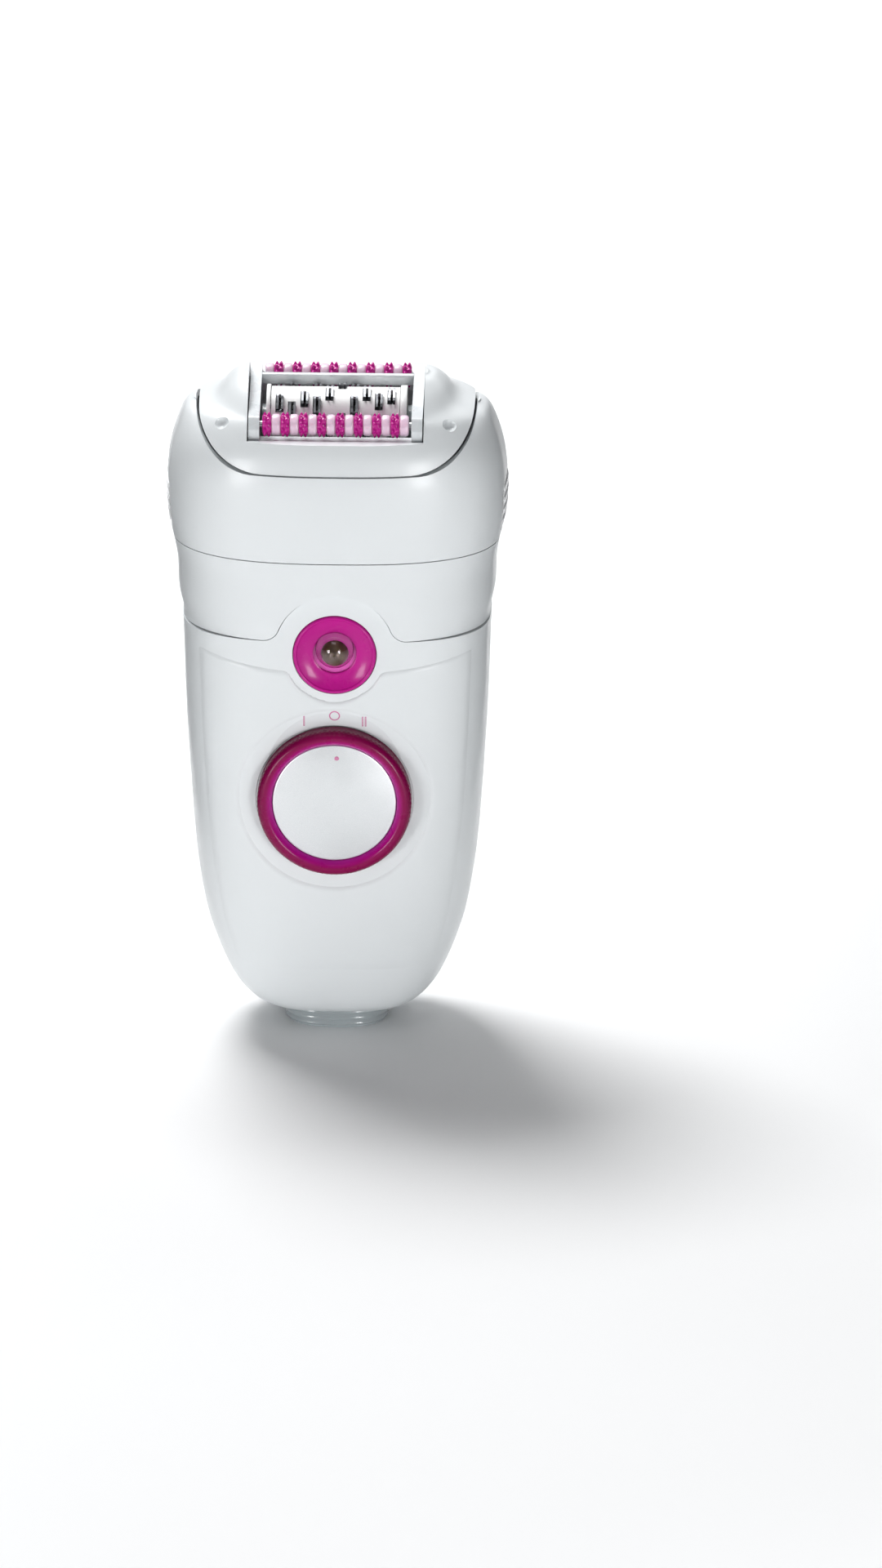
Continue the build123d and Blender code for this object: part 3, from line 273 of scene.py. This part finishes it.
# ------------------------------------------------------------------ mesh tools
def add_mesh(name, verts, faces, look, body, stands_for=(), sharp=50.0):
    mesh = bpy.data.meshes.new(name)
    mesh.from_pydata([Vector(v) * MM for v in verts], [], faces)
    mesh.validate()
    mesh.shade_smooth()
    mesh.set_sharp_from_angle(angle=math.radians(sharp))
    mesh.materials.append(look)
    piece = bpy.data.objects.new(name, mesh)
    scene.collection.objects.link(piece)
    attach(piece, body)
    if stands_for:
        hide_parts(*stands_for)
    return piece


def arc(x, y, radius, start, end, count):
    """Points on an arc; angles in degrees from +x towards +y."""
    points = []
    for i in range(count + 1):
        turn = math.radians(start + (end - start) * i / count)
        points.append((x + radius * math.cos(turn), y + radius * math.sin(turn)))
    return points


def around(rows, count, closed=True):
    """Faces of a grid of rows that wraps round in both directions, or only along the rows."""
    faces = []
    last = rows if closed else rows - 1
    for i in range(last):
        for k in range(count):
            a, b = i * count + k, i * count + (k + 1) % count
            c, d = (i + 1) % rows * count + (k + 1) % count, (i + 1) % rows * count + k
            faces.append((a, b, c, d))
    return faces


def lathe_y(profile, steps, x, z, wave=None):
    """Revolves (radius, y) about a line along Y. wave(k, turn) is added to the radius."""
    verts = []
    for i in range(steps):
        turn = 2 * math.pi * i / steps
        for k, (radius, y) in enumerate(profile):
            reach = radius + (wave(k, turn) if wave else 0)
            verts.append((x + reach * math.cos(turn), y, z + reach * math.sin(turn)))
    return verts, around(steps, len(profile))


LEAN = math.radians(7.0)


def tilted(x, y, z):
    """A point measured from the drum's axis in the roller frame, which leans towards the front."""
    return (
        x,
        DRUM.y + y * math.cos(LEAN) - z * math.sin(LEAN),
        DRUM.z + y * math.sin(LEAN) + z * math.cos(LEAN),
    )


# ------------------------------------------------------------------ dial
def dial_ring():
    """Bevelled ring with rows of fine knurling round its rim."""
    rim = [(12.5, 0.3), (15.3, 0.3), (15.45, 0.45)]
    rim += [(15.45, 0.8 + 0.25 * i) for i in range(7)]
    rim += arc(13.95, 2.75, 1.5, 8, 84, 16)
    rim += arc(13.95, 2.95, 1.3, 90, 148, 8)
    rim += [(12.62, 3.35), (12.5, 3.1)]
    profile = [(r, SEAT_Y - h) for r, h in rim]
    first, last, row_points, teeth, depth = 9, 21, 3, 100, 0.045

    def knurl(k, turn):
        if not first <= k <= last:
            return 0.0
        row, across = divmod(k - first, row_points)
        fade = math.sin(math.pi * (across + 0.5) / row_points)
        return depth * fade * math.cos(teeth * turn + math.pi * row)

    verts, faces = lathe_y(profile, 800, 0, DIAL_Z, knurl)
    add_mesh("dial_ring_knurled", verts, faces, painted_shade_ring_look(), "dial", ["dial_ring"])


def dial_cap():
    """Slightly domed cap with a round edge, and the dot that points at the speed marks."""
    top = [(12.1 * i / 24 + 0.02, 3.8 - 0.72 * (i / 24) ** 2) for i in range(25)]
    edge = arc(12.12, 2.8, 0.28, 90, 0, 6)
    profile = top + edge + [(12.4, 1.9), (0.02, 1.9)]
    profile = [(r, SEAT_Y - h) for r, h in profile]
    verts, faces = lathe_y(profile, 160, 0, DIAL_Z)
    add_mesh("dial_cap_domed", verts, faces, cap_look(), "dial", ["dial_cap"])
    bead = [(0.02, 3.40), (0.3, 3.39), (0.46, 3.36), (0.5, 3.31), (0.5, 3.2), (0.02, 3.2)]
    verts, faces = lathe_y([(r, SEAT_Y - h) for r, h in bead], 32, 0.5, DIAL_Z + 9.6)
    add_mesh("dial_dot", verts, faces, PRINT_PINK, "dial")


# ------------------------------------------------------------------ lamp
def ball_profile(radius, y, start, end):
    """(radius, y) points round a ball's front, from start to end degrees off its axis."""
    points = []
    for i in range(25):
        turn = math.radians(start + (end - start) * i / 24)
        points.append((radius * math.sin(turn), y - radius * math.cos(turn)))
    return points


def lamp():
    """Dished bezel with a clear dome, a pink well behind it and the bulb in the middle."""
    face = -19.3
    dish = [(4.3, face + 1.25), (4.3, face + 0.8)]
    dish += [(4.4 + 3.1 * i / 10, face + 0.72 - 0.9 * (i / 10) ** 1.8) for i in range(11)]
    dish += arc(7.87, face - 0.02, 0.4, 200, 350, 8)
    dish += [(8.35, face + 0.3), (8.35, face + 1.9), (4.3, face + 1.9)]
    verts, faces = lathe_y(dish, 160, 0, LAMP_Z)
    add_mesh("lamp_bezel_dished", verts, faces, LOOKS["bezel_magenta"], "handle",
             ["light_bezel"])
    dome_y = -17.9
    skin = ball_profile(3.95, dome_y, 3, 92) + ball_profile(3.72, dome_y, 90, 3)
    verts, faces = lathe_y(skin, 96, 0, LAMP_Z + 0.8)
    add_mesh("lamp_dome_skin", verts, faces, LOOKS["dome_clear"], "handle", ["light_dome"])
    well = [(0.05, -17.7), (4.7, -17.95), (4.7, -17.2), (0.05, -17.2)]
    verts, faces = lathe_y(well, 96, 0, LAMP_Z + 0.4)
    add_mesh("lamp_well", verts, faces, LAMP_PINK, "handle")
    tip, stem = 3.2, 2.85
    bulb = [(radius * stem / tip, y) for radius, y in ball_profile(tip, -17.2, 2, 70)]
    bulb += [(stem, -17.4), (stem, -16.0), (0.05, -16.0)]
    verts, faces = lathe_y(bulb, 64, 0, LAMP_Z - 0.25)
    add_mesh("lamp_bulb", verts, faces, LOOKS["lamp_amber"], "handle", ["led_lamp"])


# ------------------------------------------------------------------ front face
def front_tree():
    shell = nodes["front_housing"]
    verts = [shell.matrix_world @ v.co for v in shell.data.vertices]
    return BVHTree.FromPolygons(verts, [tuple(p.vertices) for p in shell.data.polygons])


FRONT = front_tree()


def front_y(x, z):
    """Depth of the housing's front at x, z, in millimetres."""
    hit = FRONT.ray_cast(Vector((x, -60, z)) * MM, Vector((0, 1, 0)))[0]
    return hit.y / MM if hit else 0.0


HALF_WIDTHS = (
    (10, 20.2), (18, 23.5), (26.5, 25.8), (37, 27.6),
    (49, 28.9), (63, 29.8), (77, 30.4), (88, 30.8),
)  # (height, half width) of the handle


def half_width(z):
    for (z0, w0), (z1, w1) in zip(HALF_WIDTHS, HALF_WIDTHS[1:]):
        if z <= z1:
            return w0 + (w1 - w0) * (z - z0) / (z1 - z0)
    return HALF_WIDTHS[-1][1]


def smooth_step(value):
    value = min(1.0, max(0.0, value))
    return value * value * (3 - 2 * value)


def face_panel():
    """Slightly raised face of the front housing, with a soft edge."""
    step, low, high, reach = 0.5, 14.0, 86.0, 28.5
    columns, rows = int(2 * reach / step) + 1, int((high - low) / step) + 1
    depth = [[front_y(-reach + step * i, low + step * j) for i in range(columns)] for j in range(rows)]
    smoothing_passes = 8
    for _ in range(smoothing_passes):
        before = [row[:] for row in depth]
        for j in range(1, rows - 1):
            for i in range(1, columns - 1):
                total = before[j - 1][i] + before[j + 1][i] + before[j][i - 1] + before[j][i + 1]
                depth[j][i] = (total + before[j][i] * 4) / 8
    side_inset, top_middle, top_curl, dial_clear, lamp_clear = 3.1, 80.9, 3.0, 18.9, 9.2
    sunk, travel, edge = -0.25, 0.55, 1.3
    verts, lift = [], []
    for j in range(rows):
        for i in range(columns):
            x, z = -reach + step * i, low + step * j
            side = half_width(z) - side_inset - abs(x)
            top = top_middle + top_curl * (x / 26) ** 2 - z
            dial = math.hypot(x, z - DIAL_Z) - dial_clear
            bezel = math.hypot(x, z - LAMP_Z) - lamp_clear
            bottom = (z - low - 1.0) * 0.25
            rise = sunk + travel * smooth_step(min(side, top, dial, bezel, bottom) / edge + 0.3)
            lift.append(rise)
            verts.append((x, depth[j][i] - rise, z))
    faces = []
    for j in range(rows - 1):
        for i in range(columns - 1):
            start = j * columns + i
            cell = (start, start + 1, start + columns + 1, start + columns)
            if max(lift[c] for c in cell) > -0.1:
                faces.append(cell)
    used = sorted({c for face in faces for c in face})
    order = {c: n for n, c in enumerate(used)}
    faces = [tuple(order[c] for c in face) for face in faces]
    add_mesh("front_face_panel", [verts[c] for c in used], faces, LOOKS["white_gloss"], "handle",
             sharp=80)


def printed(name, outline_in, outline_out):
    """Thin print between two matching outlines of (x, z) points, laid on the front."""
    count = len(outline_in)
    verts = []
    for lift in (0.03, -0.05):
        for x, z in outline_in + outline_out:
            verts.append((x, front_y(x, z) - lift, z))
    faces = []
    for k in range(count):
        n = (k + 1) % count
        faces.append((k, n, count + n, count + k))
        faces.append((2 * count + k, 3 * count + k, 3 * count + n, 2 * count + n))
        faces.append((count + k, count + n, 3 * count + n, 3 * count + k))
        faces.append((k, 2 * count + k, 2 * count + n, n))
    add_mesh(name, verts, faces, PRINT_PINK, "handle")


def speed_marks():
    """I, O and II above the dial."""
    ring = [arc(0, 71.6, r, 0, 360, 48)[:-1] for r in (0.85, 1.1)]
    printed("mark_off", *ring)
    for name, x in (("mark_one", -6.1), ("mark_two_left", 5.6), ("mark_two_right", 6.2)):
        rim = []
        for half, tall in ((0.03, 1.0), (0.15, 1.12)):
            side = [(x + half, 70.4 - tall + 2 * tall * i / 8) for i in range(9)]
            rim.append(side + [(2 * x - px, pz) for px, pz in reversed(side)])
        printed(name, *rim)


# ------------------------------------------------------------------ foot collar
def foot_collar():
    """Ribbed collar round the foot."""
    half_x, half_y, power = 10.5, 8.9, 2.6
    tall, rib_pitch, rib_height, proud = 3.9, 1.25, 0.10, 0.06
    outline = []
    for i in range(39):
        z = 0.08 + 0.1 * i
        taper = max(0.0, 1 - z / 1.1) ** 1.8 + 0.35 * max(0.0, 1 - z / tall)
        rib = rib_height * max(0.0, math.cos(2 * math.pi * (z - 0.9) / rib_pitch)) ** 0.6
        outline.append((z, rib + proud - taper))
    outline += [(3.85, -0.9), (1.2, -1.7), (0.1, -2.0)]
    count, verts = 120, []
    for z, grow in outline:
        for k in range(count):
            turn = 2 * math.pi * k / count
            c, s = math.cos(turn), math.sin(turn)
            x = (half_x + grow) * math.copysign(abs(c) ** (2 / power), c)
            y = (half_y + grow) * math.copysign(abs(s) ** (2 / power), s)
            verts.append((x, y, z))
    add_mesh("foot_collar", verts, around(len(outline), count), CLEAR_GREY, "handle")


# ------------------------------------------------------------------ rollers
COUNT, PITCH, STAGGER = 8, 3.66, 0.915  # wheels on a roller, their pitch, and each roller's shift along X
ROLLER_Y, ROLLER_Z = 10.5, 5.0  # a roller's axle, from the drum's axis in the leaning frame
ROLLER_HALF = 14.95  # the beads end here
AXLE_RADIUS = 0.8
WHEEL_HALF, BEAD_START = 0.9, 0.93  # from a wheel's middle to its side, and to the next bead
SPIKES, SPIKE_RADIUS, SPIKE_HEIGHT, SPIKE_OFFSET = 10, 0.5, 0.58, 0.42


def axle_ring(x, y, z, radius, count):
    """Ring of points about a line along X in the leaning frame."""
    points = []
    for k in range(count):
        turn = 2 * math.pi * k / count
        points.append(tilted(x, y + radius * math.cos(turn), z + radius * math.sin(turn)))
    return points


def spike_height(u, turn):
    """Height of the wheel's surface over its rim, at u from side to side and at an angle."""
    spike = 0.0
    for row, across in enumerate((-SPIKE_OFFSET, SPIKE_OFFSET)):
        phase = (turn * SPIKES / (2 * math.pi) + 0.5 * row) % 1.0
        along = min(phase, 1 - phase) * 2 * math.pi * 2.2 / SPIKES
        gap = math.hypot(along, WHEEL_HALF * u - across)
        spike = max(spike, 1 - gap / SPIKE_RADIUS)
    return SPIKE_HEIGHT * smooth_step(spike)


def spiked_wheel(x, y, z):
    """Wheel with two staggered rows of blunt spikes."""
    rows, count = 19, 100
    verts = []
    for i in range(rows):
        u = -1 + 2 * i / (rows - 1)
        base = 1.98 - 0.22 * abs(u) ** 6
        for k in range(count):
            turn = 2 * math.pi * k / count
            reach = base + spike_height(u, turn)
            verts.append(tilted(x + WHEEL_HALF * u, y + reach * math.cos(turn), z + reach * math.sin(turn)))
    for side in (-1, 1):
        verts += axle_ring(x + WHEEL_HALF * side, y, z, AXLE_RADIUS, count)
    faces = around(rows, count, closed=False)
    bore, edge = rows * count, (rows - 1) * count
    for k in range(count):
        n = (k + 1) % count
        faces.append((k, n, bore + n, bore + k))
        faces.append((edge + n, edge + k, bore + count + k, bore + count + n))
    return verts, faces


def barrel(x0, x1, y, z):
    """Round-edged bead between two wheels."""
    half, middle, sides = (x1 - x0) / 2, (x0 + x1) / 2, 48
    edge = min(0.3, half * 0.5)
    profile = [(-half, AXLE_RADIUS)]
    for i in range(13):
        u = -1 + 2 * i / 12
        profile.append((u * half, 2.12 - 0.1 * u * u - edge * abs(u) ** 8))
    profile.append((half, AXLE_RADIUS))
    verts = []
    for along, radius in profile:
        verts += axle_ring(middle + along, y, z, radius, sides)
    return verts, around(len(profile), sides, closed=False)


def roller(name, y, stagger):
    """The spiked wheels of one roller, and the beads that fill the gaps between them."""
    first, shortest = -PITCH * (COUNT - 1) / 2 + stagger, 0.3
    wheels = [spiked_wheel(first + PITCH * i, y, ROLLER_Z) for i in range(COUNT)]
    beads = []
    for i in range(COUNT + 1):
        x0 = max(first + PITCH * (i - 1) + BEAD_START, -ROLLER_HALF)
        x1 = min(first + PITCH * i - BEAD_START, ROLLER_HALF)
        if x1 - x0 >= shortest:
            beads.append(barrel(x0, x1, y, ROLLER_Z))
    for kind, look, shapes in (("wheels", "wheel_magenta", wheels), ("beads", "bead_lilac", beads)):
        verts, faces = [], []
        for more, cells in shapes:
            start = len(verts)
            verts += more
            faces += [tuple(start + c for c in cell) for cell in cells]
        add_mesh(f"{name}_{kind}_detailed", verts, faces, LOOKS[look], name, [f"{name}_{kind}"],
                 sharp=60)


# ------------------------------------------------------------------ head
def end_covers():
    """Fixed white sleeves over the drum's two ends, where the gear and the pusher plate turn."""
    inner, rim, outer, chamfer = 7.12, 7.3, 7.42, 0.12
    turns, start, sweep = 49, 40, 190
    for name, x0, x1 in (("gear_cover", 12.7, 14.05), ("pusher_cover", -14.05, -13.2)):
        profile = [(x0, inner), (x0, rim), (x0 + chamfer, outer), (x1 - chamfer, outer), (x1, rim),
                   (x1, inner)]
        verts = []
        for i in range(turns):
            turn = math.radians(start + sweep * i / (turns - 1))
            for x, radius in profile:
                verts.append((x, DRUM.y + radius * math.cos(turn), DRUM.z + radius * math.sin(turn)))
        count = len(profile)
        faces = around(turns, count, closed=False)
        faces.append(tuple(range(count)))
        faces.append(tuple((turns - 1) * count + k for k in reversed(range(count))))
        add_mesh(name, verts, faces, DRUM_WHITE, "head")


def button_springs():
    """Coils between the head's chassis and the push buttons, built at their rest length."""
    wire_radius, coil_radius, start, length, turns = 0.2, 1.58, 26.32, 3.6, 3.9
    count, sides = 160, 10
    for side, name in ((1, "right"), (-1, "left")):
        verts = []
        for i in range(count + 1):
            turn = 2 * math.pi * turns * i / count
            outward = Vector((0, math.cos(turn), math.sin(turn)))
            middle = Vector((start + length * i / count, 0, SPRING_Z)) + outward * coil_radius
            for k in range(sides):
                angle = 2 * math.pi * k / sides
                around_wire = outward * math.cos(angle) + Vector((1, 0, 0)) * math.sin(angle)
                point = middle + around_wire * wire_radius
                verts.append((side * point.x, point.y, point.z))
        faces = around(count + 1, sides, closed=False)
        faces += [tuple(range(sides)), tuple(count * sides + k for k in reversed(range(sides)))]
        coil = add_mesh(f"button_coil_{name}", verts, faces, LOOKS["steel"], "head",
                        [f"button_spring_{name}"])
        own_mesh(coil)


def frame_bar():
    """Rounded bar behind the drum."""
    half_length, corner = 15.15, 0.42
    outline = []
    for y, z, start in ((7.25, 6.65, 0), (6.75, 6.65, 90), (6.75, 5.1, 180), (7.25, 5.1, 270)):
        outline += arc(y, z, corner, start, start + 90, 6)
    verts = [tilted(x, y, z) for x in (-half_length, half_length) for y, z in outline]
    count = len(outline)
    faces = [(k, (k + 1) % count, count + (k + 1) % count, count + k) for k in range(count)]
    faces += [tuple(reversed(range(count))), tuple(range(count, 2 * count))]
    add_mesh("frame_bar_rounded", verts, faces, LOOKS["frame_white"], "frame", ["frame_bar"])


def soft_edges():
    """Rounds the moulded edges of CAD nodes that keep their own shape."""
    for name, width in (("massage_cap", 0.35), ("frame_cheeks", 0.35),
                        ("frame_comb", 0.12), ("head_shell", 0.15), ("drum_core", 0.08)):
        bevel = nodes[name].modifiers.new("soft_edge", "BEVEL")
        bevel.width = width * MM
        bevel.segments = 3
        bevel.limit_method = "ANGLE"
        bevel.angle_limit = math.radians(35)
        bevel.harden_normals = True


dial_ring()
dial_cap()
lamp()
face_panel()
speed_marks()
foot_collar()
roller("front_roller", -ROLLER_Y, -STAGGER)
roller("rear_roller", ROLLER_Y, STAGGER)
end_covers()
button_springs()
frame_bar()
soft_edges()


# ------------------------------------------------------------------ stage, light, camera
def card(name, width, height, place, look_at, power):
    """Rectangular soft light; its power is in watts."""
    light = bpy.data.lights.new(name, "AREA")
    light.shape = "RECTANGLE"
    light.size, light.size_y = width * MM, height * MM
    light.energy = power
    holder = bpy.data.objects.new(name, light)
    scene.collection.objects.link(holder)
    holder.location = Vector(place) * MM
    aim = (Vector(look_at) - Vector(place)).normalized()
    holder.rotation_euler = aim.to_track_quat("-Z", "Y").to_euler()


def backdrop():
    """Floor that sweeps up into a back wall."""
    half, near, far, tall, bend, steps = 2200, -1600, 1500, 2600, 600, 16
    rows = [(near, 0.0), (far - bend, 0.0)]
    for i in range(1, steps + 1):
        turn = math.pi / 2 * i / steps
        rows.append((far - bend + bend * math.sin(turn), bend - bend * math.cos(turn)))
    rows.append((far, tall))
    verts = []
    for y, z in rows:
        verts += [(-half * MM, y * MM, z * MM), (half * MM, y * MM, z * MM)]
    faces = [(2 * i, 2 * i + 1, 2 * i + 3, 2 * i + 2) for i in range(len(rows) - 1)]
    mesh = bpy.data.meshes.new("studio_sweep")
    mesh.from_pydata(verts, [], faces)
    for face in mesh.polygons:
        face.use_smooth = True
    sweep = bpy.data.objects.new("studio_sweep", mesh)
    scene.collection.objects.link(sweep)
    material, tree, shader = new_material("studio_white")
    vector = object_coords(tree)
    tone = ramp(tree, noise(tree, vector, 3, 2), [(0.3, (0.90, 0.905, 0.91)), (0.7, (0.92, 0.925, 0.93))])
    wire(tree, tone, shader.inputs["Base Color"])
    shader.inputs["Roughness"].default_value = 0.6
    mesh.materials.append(material)


def flag(name, outline):
    """Dark board that the camera doesn't see, whose reflection darkens one side of the object."""
    mesh = bpy.data.meshes.new(name)
    mesh.from_pydata([Vector(corner) * MM for corner in outline], [], [(0, 1, 2, 3)])
    board = bpy.data.objects.new(name, mesh)
    scene.collection.objects.link(board)
    material, tree, shader = new_material(name)
    vector = object_coords(tree)
    tone = ramp(tree, noise(tree, vector, 30, 2), [(0.3, (0.02, 0.022, 0.025)), (0.7, (0.03, 0.032, 0.035))])
    wire(tree, tone, shader.inputs["Base Color"])
    shader.inputs["Roughness"].default_value = 0.9
    mesh.materials.append(material)
    board.visible_camera = False
    board.visible_shadow = False


def make_world():
    """Pale surroundings that are darker to the left and right, and floor coloured below."""
    world = bpy.data.worlds.new("studio")
    world.use_nodes = True
    tree = world.node_tree
    coords = tree.nodes.new("ShaderNodeTexCoord")
    split = tree.nodes.new("ShaderNodeSeparateXYZ")
    wire(tree, coords.outputs["Generated"], split.inputs["Vector"])
    tone = ramp(tree, spread(tree, split.outputs["X"], 0, 1, (-1, 1)), [
        (0.0, (0.05, 0.055, 0.06)), (0.22, (0.25, 0.26, 0.27)), (0.42, (0.94, 0.97, 1.0)),
        (0.58, (0.94, 0.97, 1.0)), (0.78, (0.12, 0.13, 0.14)), (1.0, (0.03, 0.035, 0.04))])
    above = tree.nodes["Background"]
    wire(tree, tone, above.inputs["Color"])
    above.inputs["Strength"].default_value = 0.15
    below = tree.nodes.new("ShaderNodeBackground")
    below.inputs["Color"].default_value = (0.92, 0.93, 0.94, 1)
    below.inputs["Strength"].default_value = 0.9
    join = tree.nodes.new("ShaderNodeMixShader")
    wire(tree, spread(tree, split.outputs["Z"], 1, 0, (-0.02, 0.0)), join.inputs["Fac"])
    wire(tree, above.outputs["Background"], join.inputs[1])
    wire(tree, below.outputs["Background"], join.inputs[2])
    wire(tree, join.outputs["Shader"], tree.nodes["World Output"].inputs["Surface"])
    scene.world = world


def make_camera():
    """Long-lens product view: no convergence, from slightly above the front."""
    elevation, azimuth = math.radians(22.0), math.radians(1.7)
    view_height, aim_height, aim_right, distance = 313.2, 49.2, 20.7, 1200
    back = Vector((
        math.sin(azimuth) * math.cos(elevation),
        -math.cos(azimuth) * math.cos(elevation),
        math.sin(elevation),
    ))
    side = Vector((math.cos(azimuth), math.sin(azimuth), 0))
    target = Vector((0, 0, aim_height)) + side * aim_right
    data = bpy.data.cameras.new("camera")
    data.type = "ORTHO"
    data.ortho_scale = view_height * MM
    data.clip_start, data.clip_end = 0.01, 20
    camera = bpy.data.objects.new("camera", data)
    scene.collection.objects.link(camera)
    camera.location = (target + back * distance) * MM
    camera.rotation_euler = (-back).to_track_quat("-Z", "Y").to_euler()
    scene.camera = camera


make_world()
make_camera()
backdrop()
card("overhead", 340, 340, (-200, 350, 790), (0, 0, 40), 7.6)
card("left_box", 130, 170, (-320, -490, 86), (0, 0, 75), 0.9)
card("right_box", 130, 170, (265, -545, 86), (0, 0, 75), 1.12)
card("front_top", 240, 120, (-60, -330, 520), (0, 0, 100), 0.15)
card("floor_wash", 1300, 420, (60, 640, 700), (60, 760, 0), 3.0)
flag("flag_right", [(120, -30, 2), (100, 150, 2), (100, 150, 180), (120, -30, 180)])
flag("flag_left", [(-105, -30, 2), (-85, 150, 2), (-85, 150, 180), (-105, -30, 180)])
scene.view_settings.view_transform = "Standard"
